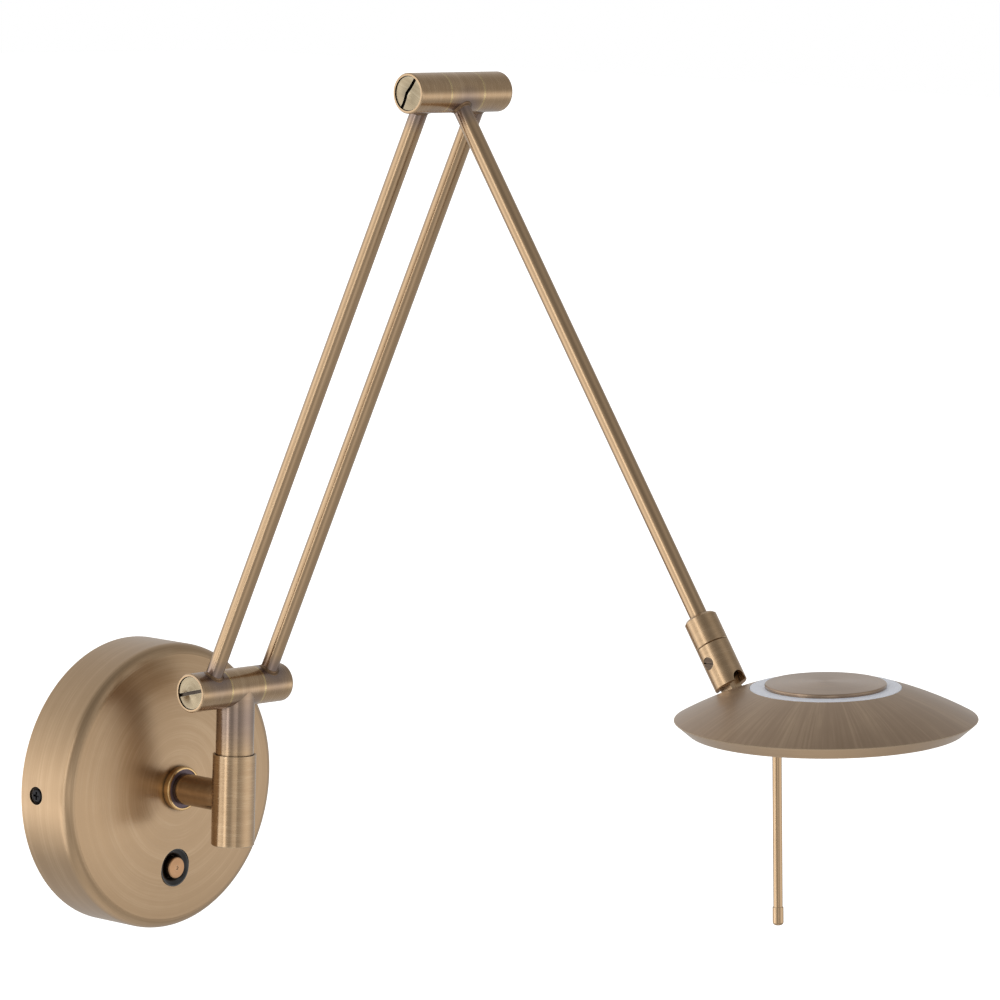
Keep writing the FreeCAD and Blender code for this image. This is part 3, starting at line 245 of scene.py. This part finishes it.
def antique_brass(
    name,
    place,
    axis,
    direction="around",
    roughness=0.3,
    anisotropy=0.5,
    dark=PATINA_DARK,
    middle=PATINA_MIDDLE,
    light=PATINA_LIGHT,
    contrast=0.3,
    line_scale=2200.0,
    bump=0.02,
    barrel=None,
    joint_shade=None,
    recess_reach=2.4 * MM,
    slot_shade=None,
):
    """Brushed antique brass.

    barrel is a place, an axis and a reach: inside it the grain runs round that second axis.
    The places and reach for the joints: there the brass is greyed and darkened, painted shade
    where the parts meet.
    The place on X and two depths beyond it for the slots: between the depths the slots are painted
    dark, as painted shade.
    """
    material, tree, shader = new_material(name)
    point, tangent = brushing(tree, place, axis, direction)
    if barrel:
        other_place, other_axis, reach = barrel
        other_point, other_tangent = brushing(tree, other_place, other_axis, "around")
        distance = turned_coordinates(tree, other_place, other_axis)[1]
        inside = calc(tree, "LESS_THAN", distance, reach)
        point = mix_vector(tree, inside, point, other_point)
        tangent = mix_vector(tree, inside, tangent, other_tangent)
    lines = noise(tree, point, line_scale, 5.0, 0.6)
    broad = noise(tree, point, line_scale / 7, 3.0, 0.55)
    cloud = noise(tree, object_point(tree), CLOUD_SCALE, 4.0, 0.6)
    fine_tone = calc(tree, "MULTIPLY", lines, FINE_SHARE)
    broad_tone = calc(tree, "MULTIPLY", broad, BROAD_SHARE)
    tone = calc(tree, "ADD", fine_tone, broad_tone)
    tone = calc(tree, "ADD", tone, calc(tree, "MULTIPLY", cloud, CLOUD_SHARE))
    spread = TONE_SPREAD / contrast
    colour = mix_colour(tree, ramp(tree, tone, 0.5 - spread, 0.5 + spread), dark, middle)
    shine = ramp(tree, tone, 0.5, 0.5 + SHINE_SPREAD / contrast)
    colour = mix_colour(tree, calc(tree, "MULTIPLY", shine, SHINE_STRENGTH), colour, light)
    edges = calc(tree, "MULTIPLY", edge_mask(tree, EDGE_REACH), EDGE_STRENGTH)
    colour = mix_colour(tree, edges, colour, light)
    # painted shade: greyed and darker round where the rods and the post meet the barrels
    if joint_shade:
        joint_shading = calc(tree, "MULTIPLY", nearness(tree, *joint_shade), JOINT_SHADE_STRENGTH)
        colour = mix_colour(tree, joint_shading, colour, JOINT_SHADE_GREY)
    # darker in recesses: partly the patina antique brass keeps there, partly painted shade
    recesses = calc(tree, "MULTIPLY", recess_mask(tree, recess_reach), RECESS_STRENGTH)
    colour = mix_colour(tree, recesses, colour, DEEP_PATINA_AND_SHADE)
    # painted shade: the floors of the screws' slots made dark
    if slot_shade:
        start, shallow, deep = slot_shade
        depth = vector_calc(tree, "DOT_PRODUCT", object_point(tree), X_AXIS)
        slot_shaded = ramp(tree, depth, start + shallow, start + deep)
        colour = mix_colour(tree, slot_shaded, colour, DEEP_PATINA_AND_SHADE)
    tree.links.new(colour, shader.inputs["Base Color"])
    shader.inputs["Metallic"].default_value = 1.0
    shader.inputs["Coat Weight"].default_value = COAT_WEIGHT
    shader.inputs["Coat Roughness"].default_value = COAT_ROUGHNESS
    rough = ramp(tree, lines, 0.3, 0.7, roughness - 0.03, roughness + 0.05)
    tree.links.new(rough, shader.inputs["Roughness"])
    shader.inputs["Anisotropic"].default_value = anisotropy
    tree.links.new(tangent, shader.inputs["Tangent"])
    relief = add(tree, "Bump", {"Height": lines, "Strength": bump, "Distance": GRAIN_DEPTH})
    tree.links.new(relief.outputs[0], shader.inputs["Normal"])
    return material


PLAIN_EDGE_REACH, PLAIN_EDGE_STRENGTH = 0.2 * MM, 0.3
PLAIN_BUMP, PLAIN_BUMP_DEPTH = 0.1, 0.02 * MM
WORN_GAIN, WORN_LIFT = 1.3, 0.03  # of the colour, where its edges are rubbed
SHINE_VARIATION = 0.15  # of the roughness


def plain_material(name, colour, roughness, metallic=0.0, speckle=0.1, scale=600.0, coat=0.0):
    """A moulded, plated or painted surface with fine mottling and slight unevenness."""
    material, tree, shader = new_material(name)
    point = object_point(tree)
    fine = noise(tree, point, scale, 4.0)
    broad = noise(tree, point, scale / 12, 3.0)
    tone = calc(tree, "ADD", calc(tree, "MULTIPLY", fine, 0.5), calc(tree, "MULTIPLY", broad, 0.5))
    darker = tuple(c * (1 - speckle) for c in colour[:3]) + (1,)
    lighter = tuple(min(1, c * (1 + speckle)) for c in colour[:3]) + (1,)
    shade = ramp(tree, tone, 0.35, 0.65)
    mixed = mix_colour(tree, shade, darker, lighter)
    edges = calc(tree, "MULTIPLY", edge_mask(tree, PLAIN_EDGE_REACH), PLAIN_EDGE_STRENGTH)
    worn = tuple(min(1, c * WORN_GAIN + WORN_LIFT) for c in colour[:3]) + (1,)
    tree.links.new(mix_colour(tree, edges, mixed, worn), shader.inputs["Base Color"])
    shader.inputs["Metallic"].default_value = metallic
    shader.inputs["Coat Weight"].default_value = coat
    sharpest, dullest = roughness * (1 - SHINE_VARIATION), roughness * (1 + SHINE_VARIATION)
    rough = ramp(tree, tone, 0.3, 0.7, sharpest, dullest)
    tree.links.new(rough, shader.inputs["Roughness"])
    values = {"Height": fine, "Strength": PLAIN_BUMP, "Distance": PLAIN_BUMP_DEPTH}
    relief = add(tree, "Bump", values)
    tree.links.new(relief.outputs[0], shader.inputs["Normal"])
    return material


OPAL = srgb(226, 230, 240)


def frosted_acrylic():
    """Opal plastic with a painted glow, standing in for light from the room that fills it."""
    material = plain_material("frosted_acrylic", OPAL, 0.4, speckle=0.02)
    nodes = material.node_tree.nodes
    shader = next(node for node in nodes if node.type == "BSDF_PRINCIPLED")
    # painted glow: stands in for room light inside the opal plastic
    shader.inputs["Emission Color"].default_value = OPAL
    shader.inputs["Emission Strength"].default_value = 0.16
    shader.inputs["Subsurface Weight"].default_value = 0.3
    shader.inputs["Subsurface Radius"].default_value = (2 * MM, 2 * MM, 2.2 * MM)
    shader.inputs["Subsurface Scale"].default_value = 1.0
    shader.inputs["Specular IOR Level"].default_value = 0.4
    return material


def clothe(material, *names):
    """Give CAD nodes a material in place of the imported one."""
    for name in names:
        mesh = frame["nodes"][name].data
        mesh.materials.clear()
        mesh.materials.append(material)


# --- CAD nodes and their materials ---
def clothe_wall_base():
    cover = antique_brass(
        "brass_canopy", WALL_CENTRE, Y_AXIS, roughness=0.32, anisotropy=0.6, contrast=0.32,
        line_scale=1500.0,
    )
    clothe(cover, "canopy_cover")
    bright = antique_brass(
        "brass_collar", WALL_CENTRE, Y_AXIS, roughness=0.22, dark=srgb(206, 166, 112),
        middle=srgb(226, 190, 134), light=srgb(248, 222, 176),
    )
    clothe(bright, "boss_collar")
    stub = antique_brass("brass_stub", WALL_CENTRE, Y_AXIS, roughness=0.22, anisotropy=0.3)
    clothe(stub, "stub_arm")
    sleeve = antique_brass("brass_sleeve", post_place, Z_AXIS, roughness=0.24, contrast=0.45)
    clothe(sleeve, "swivel_sleeve", "sleeve_cap")
    button = antique_brass("brass_button", button_place, Y_AXIS, middle=srgb(196, 140, 96))
    clothe(button, "button_cap")


# how far the painted shade, a dark grey, reaches round where the parts meet
POST_SHADE_REACH, LOWER_BARREL_SHADE_REACH, UPPER_BARREL_SHADE_REACH, ROD_SHADE_REACH = 17 * MM, 12 * MM, 11 * MM, 9 * MM
POST_SHADE_DROP = 12 * MM  # from the lower elbow down to the middle of the painted shade on the post's top
BARREL_SKIN = 0.05 * MM  # so that the barrel's own surface counts as inside its reach
SLOT_SHADE_DEPTHS = (1.4 * MM, 1.9 * MM)  # depths behind the screws' faces where the painted shade in the slots starts and is full
# how far the painted shade in the screws' slots reaches
SCREW_RECESS_REACH = 5 * MM


def clothe_arms():
    post = antique_brass(
        "brass_post", post_place, Z_AXIS, roughness=0.24, contrast=0.4,
        barrel=(lower_elbow, X_AXIS, barrel_radius + BARREL_SKIN),
        # painted shade on the post's top, under the lower barrel
        joint_shade=([lower_elbow - Z_AXIS * POST_SHADE_DROP], POST_SHADE_REACH),
    )
    clothe(post, "post_tee")
    foot = lower_direction * barrel_radius
    lower_feet = [lower_elbow + foot - rod_side, lower_elbow + foot + rod_side]
    upper_feet = [
        upper_elbow - foot - rod_side, upper_elbow - foot + rod_side,
        upper_elbow + upper_direction * barrel_radius,
    ]
    lower = antique_brass(
        "brass_lower_barrel", lower_elbow, X_AXIS, roughness=0.26, contrast=0.4,
        joint_shade=(lower_feet, LOWER_BARREL_SHADE_REACH),
    )
    clothe(lower, "lower_barrel_left_end", "lower_barrel_right_end")
    upper = antique_brass(
        "brass_upper_barrel", upper_elbow, X_AXIS, roughness=0.26, contrast=0.4,
        joint_shade=(upper_feet, UPPER_BARREL_SHADE_REACH),
    )
    clothe(upper, "upper_barrel_left_end", "upper_barrel_right_end", "upper_barrel_middle")
    for name in ("lower_left_rod", "lower_right_rod"):
        rod = antique_brass(
            "brass_" + name, middle_of(name), lower_direction, "lengthwise", roughness=0.2,
            anisotropy=0.25, contrast=0.2, bump=0.01, joint_shade=(lower_feet + upper_feet, ROD_SHADE_REACH),
        )
        clothe(rod, name)
    rod = antique_brass(
        "brass_upper_rod", upper_elbow, upper_direction, "lengthwise", roughness=0.2,
        anisotropy=0.25, contrast=0.2, bump=0.01, joint_shade=(upper_feet, ROD_SHADE_REACH),
    )
    clothe(rod, "upper_rod")
    knuckle = antique_brass("brass_knuckle", upper_elbow, upper_direction, roughness=0.25)
    clothe(knuckle, "knuckle_collar", "knuckle_fork", "rod_end_bush")
    # the pivot screws carry painted shade in their slots
    pale = antique_brass(
        "pale_brass", lower_elbow, X_AXIS, roughness=0.24, dark=srgb(140, 124, 100),
        middle=srgb(176, 162, 134), light=srgb(222, 212, 186),
        recess_reach=SCREW_RECESS_REACH, slot_shade=(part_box("pivot_screws")[0].x, *SLOT_SHADE_DEPTHS),
    )
    clothe(pale, "pivot_screws")
    bright = antique_brass(
        "brass_washers", lower_elbow, X_AXIS, roughness=0.22, dark=srgb(190, 160, 110),
        middle=srgb(222, 196, 146), light=srgb(244, 226, 184),
    )
    clothe(bright, "friction_washers", "pivot_tubes", "sleeve_upper_bush", "sleeve_lower_bush")


def clothe_head():
    shell = antique_brass(
        "brass_shell", head_place, head_axis, "outward", roughness=0.36, anisotropy=0.35,
        dark=srgb(160, 136, 112), middle=srgb(188, 163, 138), line_scale=900.0, contrast=0.42,
    )
    clothe(shell, "head_top_shell")
    cap = antique_brass(
        "brass_cap", head_place, head_axis, roughness=0.32, anisotropy=0.6,
        dark=srgb(160, 136, 114), middle=srgb(188, 164, 142), line_scale=1500.0,
    )
    clothe(cap, "head_cap")
    clothe(antique_brass("brass_bezel", head_place, head_axis), "lower_bezel")
    pin = antique_brass(
        "brass_pin", pin_place, head_axis, "lengthwise", roughness=0.2, contrast=0.2
    )
    clothe(pin, "handle_pin", "handle_tip")
    tongue = antique_brass(
        "brass_tongue", tilt_place, tilt_axis, roughness=0.28, middle=srgb(190, 164, 132)
    )
    clothe(tongue, "head_tongue")
    # dark colour: the shade in the tilt screw's counterbore, painted into the head
    screw = antique_brass(
        "brass_tilt_screw", tilt_place, tilt_axis, dark=srgb(60, 48, 38),
        middle=srgb(92, 75, 60), light=srgb(150, 128, 104),
    )
    clothe(screw, "tilt_screw")
    clothe(frosted_acrylic(), "upper_diffuser", "lower_diffuser")


def clothe_small_parts():
    black = plain_material("black_gloss", srgb(14, 13, 14), 0.22, speckle=0.25, coat=0.4)
    clothe(black, "button_bezel", "switch_nut", "switch_housing")
    bush = plain_material("dark_bush", srgb(112, 96, 104), 0.38, metallic=0.5, speckle=0.15)
    clothe(bush, "boss_bush", "lower_pivot_bushes", "upper_pivot_bushes")
    screws = plain_material("black_oxide", srgb(26, 26, 30), 0.35, metallic=0.6, speckle=0.3)
    clothe(screws, "side_screws")
    steel = plain_material(
        "zinc_plate", srgb(186, 188, 190), 0.3, metallic=1.0, speckle=0.12, scale=900.0
    )
    clothe(
        steel, "wall_bracket", "spring_washers", "post_clip", "knuckle_clip", "stub_nut",
        "cap_screw",
    )
    white = plain_material("white_moulding", srgb(232, 232, 228), 0.5, speckle=0.03)
    clothe(white, "driver_case", "driver_lid", "terminal_block", "reflector_ring")
    rubber = plain_material("black_rubber", srgb(28, 28, 30), 0.7, speckle=0.2)
    clothe(rubber, "cable_grommet", "button_boot")
    board = plain_material("solder_mask", srgb(228, 232, 226), 0.35, speckle=0.04)
    clothe(board, "driver_board", "lower_led_board", "upper_led_board")
    sheath = plain_material("lead_sheath", srgb(238, 236, 230), 0.45, speckle=0.03)
    clothe(sheath, "stub_lead", "post_lead", "lower_arm_lead", "upper_arm_lead", "head_lead")
    aluminium = plain_material(
        "machined_aluminium", srgb(214, 215, 218), 0.28, metallic=1.0, speckle=0.06
    )
    clothe(aluminium, "heat_spreader")


# --- weld fillets where the rods enter the barrels ---
WELD_LEG = 0.9 * MM
WELD_LIP = 0.02 * MM
WELD_SINK = 0.2 * MM  # how far its hidden sides lie inside the rod and the barrel
WELD_STEPS = 48
BEAD_DEPTH = 0.12
BEAD_WAVES = (11, 3)


def make_weld(name, body, elbow, across, direction):
    """A small concave ring round a rod that stands on a barrel lying along X."""
    centre = Vector((across, elbow.y, elbow.z))
    sideways = direction.cross(X_AXIS)

    def point(turn, radius, rise):
        x, y = radius * math.cos(turn), radius * math.sin(turn)
        height = math.sqrt(barrel_radius**2 - y**2) + rise
        return centre + X_AXIS * x + sideways * y + direction * height

    profile = [
        (rod_radius - WELD_SINK, WELD_LEG),
        (rod_radius + WELD_LIP, WELD_LEG),
        (rod_radius + 0.12 * WELD_LEG, 0.5 * WELD_LEG),
        (rod_radius + 0.35 * WELD_LEG, 0.2 * WELD_LEG),
        (rod_radius + WELD_LEG, WELD_LIP),
        (rod_radius + WELD_LEG, -WELD_SINK),
        (rod_radius - WELD_SINK, -WELD_SINK),
    ]
    shape = bmesh.new()
    rings = []
    for step in range(WELD_STEPS):
        turn = 2 * math.pi * step / WELD_STEPS
        ripple = math.sin(BEAD_WAVES[0] * turn) * math.sin(BEAD_WAVES[1] * turn + 1)
        bead = 1 + BEAD_DEPTH * ripple
        rings.append([shape.verts.new(point(turn, r, h * bead)) for r, h in profile])
    for step in range(WELD_STEPS):
        here, there = rings[step], rings[(step + 1) % WELD_STEPS]
        for i in range(len(profile)):
            j = (i + 1) % len(profile)
            shape.faces.new((here[i], there[i], there[j], here[j]))
    bmesh.ops.recalc_face_normals(shape, faces=shape.faces)
    for face in shape.faces:
        face.smooth = True
    mesh = bpy.data.meshes.new(name)
    shape.to_mesh(mesh)
    shape.free()
    weld = bpy.data.objects.new(name, mesh)
    bpy.context.scene.collection.objects.link(weld)
    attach(weld, body)
    return weld


def make_welds():
    colour = plain_material(
        "brazed_joint", srgb(122, 98, 76), 0.3, metallic=1.0, speckle=0.3, scale=1500.0
    )
    welds = []
    for side in ("left", "right"):
        across = middle_of(f"lower_{side}_rod").x
        for end, elbow, direction in (
            ("low", lower_elbow, lower_direction),
            ("high", upper_elbow, -lower_direction),
        ):
            weld = make_weld(f"weld_{side}_{end}", "lower_arm", elbow, across, direction)
            welds.append(weld)
    welds.append(make_weld("weld_upper", "upper_arm", upper_elbow, 0.0, upper_direction))
    for weld in welds:
        weld.data.materials.append(colour)


# --- stage: floor, light and camera ---
FLOOR_HEIGHT = -1.3
FLOOR_SIZE = 60.0


def make_floor():
    mesh = bpy.data.meshes.new("floor")
    half = FLOOR_SIZE / 2
    corners = [(-half, -half), (half, -half), (half, half), (-half, half)]
    mesh.from_pydata([(x, y, FLOOR_HEIGHT) for x, y in corners], [], [(0, 1, 2, 3)])
    floor = bpy.data.objects.new("floor", mesh)
    bpy.context.scene.collection.objects.link(floor)
    material, _, shader = new_material("pale_floor")
    shader.inputs["Base Color"].default_value = (0.9, 0.9, 0.9, 1)
    shader.inputs["Roughness"].default_value = 0.8
    shader.inputs["Specular IOR Level"].default_value = 0.0
    shader.inputs["Emission Color"].default_value = (1, 1, 1, 1)
    shader.inputs["Emission Strength"].default_value = 0.9
    mesh.materials.append(material)
    floor.visible_glossy = False
    floor.visible_diffuse = False


# the camera stands in front of the lamp on the -X side, a little above it, and rolls slightly
CAMERA_TARGET = Vector((0.041615, -0.170, 0.13166))
CAMERA_DISTANCE = 2.2545
CAMERA_AZIMUTH = math.radians(-47.692)
CAMERA_ELEVATION = math.radians(6.685)
CAMERA_ROLL = math.radians(1.55)
CAMERA_LENS = 201.485


def camera_axes():
    """Right, up and back of the camera."""
    back = Vector(
        (
            math.sin(CAMERA_AZIMUTH) * math.cos(CAMERA_ELEVATION),
            -math.cos(CAMERA_AZIMUTH) * math.cos(CAMERA_ELEVATION),
            math.sin(CAMERA_ELEVATION),
        )
    )
    level = Vector((math.cos(CAMERA_AZIMUTH), math.sin(CAMERA_AZIMUTH), 0))
    upright = back.cross(level)
    right = level * math.cos(CAMERA_ROLL) + upright * math.sin(CAMERA_ROLL)
    return right, back.cross(right), back


def make_camera():
    right, up, back = camera_axes()
    data = bpy.data.cameras.new("camera")
    data.lens = CAMERA_LENS
    data.sensor_width = 36.0
    data.clip_end = 200.0
    camera = bpy.data.objects.new("camera", data)
    bpy.context.scene.collection.objects.link(camera)
    turn = Matrix((right, up, back)).transposed()
    place = CAMERA_TARGET + back * CAMERA_DISTANCE
    camera.matrix_world = Matrix.Translation(place) @ turn.to_4x4()
    bpy.context.scene.camera = camera


def studio_direction(azimuth, elevation):
    """A direction given in degrees to the right of the camera and upwards."""
    azimuth, elevation = math.radians(azimuth), math.radians(elevation)
    forward = Vector((math.sin(CAMERA_AZIMUTH), -math.cos(CAMERA_AZIMUTH), 0))
    right = Vector((math.cos(CAMERA_AZIMUTH), math.sin(CAMERA_AZIMUTH), 0))
    level = forward * math.cos(azimuth) + right * math.sin(azimuth)
    return level * math.cos(elevation) + Z_AXIS * math.sin(elevation)


# azimuth, elevation, brightness, tightness, flatness
SOFT_AREAS = [
    (-70, 4, 0.6, 6, 0),
    (-97, -8, 0.8, 20, 0),
    (-42, 14, 0.25, 14, 0),
    (-120, 22, 0.42, 4, 0),
    (4, -4, 0.9, 60, 0),
    (15, -44, 0.35, 30, 0),
    (80, -11, 0.95, 5, 22),
    (62, 34, 0.35, 10, 0),
    (180, 25, 0.22, 2.5, 0),
    (0, -90, 0.35, 7, 0),
]
ROOM_LEVEL = 0.36
CEILING_LOSS = 0.14


def make_world():
    """White to the camera; to the lamp, a grey room with a few broad soft areas."""
    world = bpy.data.worlds.new("studio")
    bpy.context.scene.world = world
    world.use_nodes = True
    tree = world.node_tree
    tree.nodes.clear()
    direction = add(tree, "TexCoord").outputs["Generated"]
    upwards = vector_calc(tree, "DOT_PRODUCT", direction, Z_AXIS)
    level = calc(tree, "MULTIPLY_ADD", upwards, -CEILING_LOSS, ROOM_LEVEL)
    for azimuth, elevation, brightness, tightness, flatness in SOFT_AREAS:
        facing = vector_calc(tree, "DOT_PRODUCT", direction, studio_direction(azimuth, elevation))
        fall = calc(tree, "MULTIPLY", calc(tree, "SUBTRACT", facing, 1.0), tightness)
        if flatness:
            rise = calc(tree, "SUBTRACT", upwards, math.sin(math.radians(elevation)))
            rise = calc(tree, "MULTIPLY", rise, rise)
            fall = calc(tree, "MULTIPLY_ADD", rise, -flatness, fall)
        level = calc(tree, "MULTIPLY_ADD", calc(tree, "EXPONENT", fall), brightness, level)
    room = add(tree, "Background", {"Color": (1.0, 0.985, 0.97, 1), "Strength": level})
    backdrop = add(tree, "Background", {"Color": (1, 1, 1, 1), "Strength": 1.0})
    seen = add(tree, "LightPath").outputs["Is Camera Ray"]
    mixed = add(tree, "MixShader", {0: seen, 1: room.outputs[0], 2: backdrop.outputs[0]})
    add(tree, "OutputWorld", {"Surface": mixed.outputs[0]})


LAMP_MIDDLE = Vector((0, -0.19, 0.12))


def make_softbox(name, azimuth, elevation, distance, width, height, brightness):
    """A rectangular light in a studio direction, aimed at the lamp."""
    direction = studio_direction(azimuth, elevation)
    data = bpy.data.lights.new(name, "AREA")
    data.shape = "RECTANGLE"
    data.size = width
    data.size_y = height
    data.energy = brightness * math.pi * width * height
    light = bpy.data.objects.new(name, data)
    bpy.context.scene.collection.objects.link(light)
    light.location = LAMP_MIDDLE + direction * distance
    light.rotation_euler = direction.to_track_quat("Z", "Y").to_euler()


def make_lights():
    # azimuth, elevation, distance, width, height, brightness
    make_softbox("strip_left", -46, 0, 2.0, 0.45, 2.6, 1.3)
    make_softbox("strip_front", 14, 0, 2.4, 0.35, 2.0, 0.5)
    make_softbox("low_left", -75, -30, 1.8, 0.9, 0.9, 0.9)


clothe_wall_base()
clothe_arms()
clothe_head()
clothe_small_parts()
make_welds()
make_floor()
make_world()
make_camera()
make_lights()
bpy.context.scene.view_settings.view_transform = "Standard"
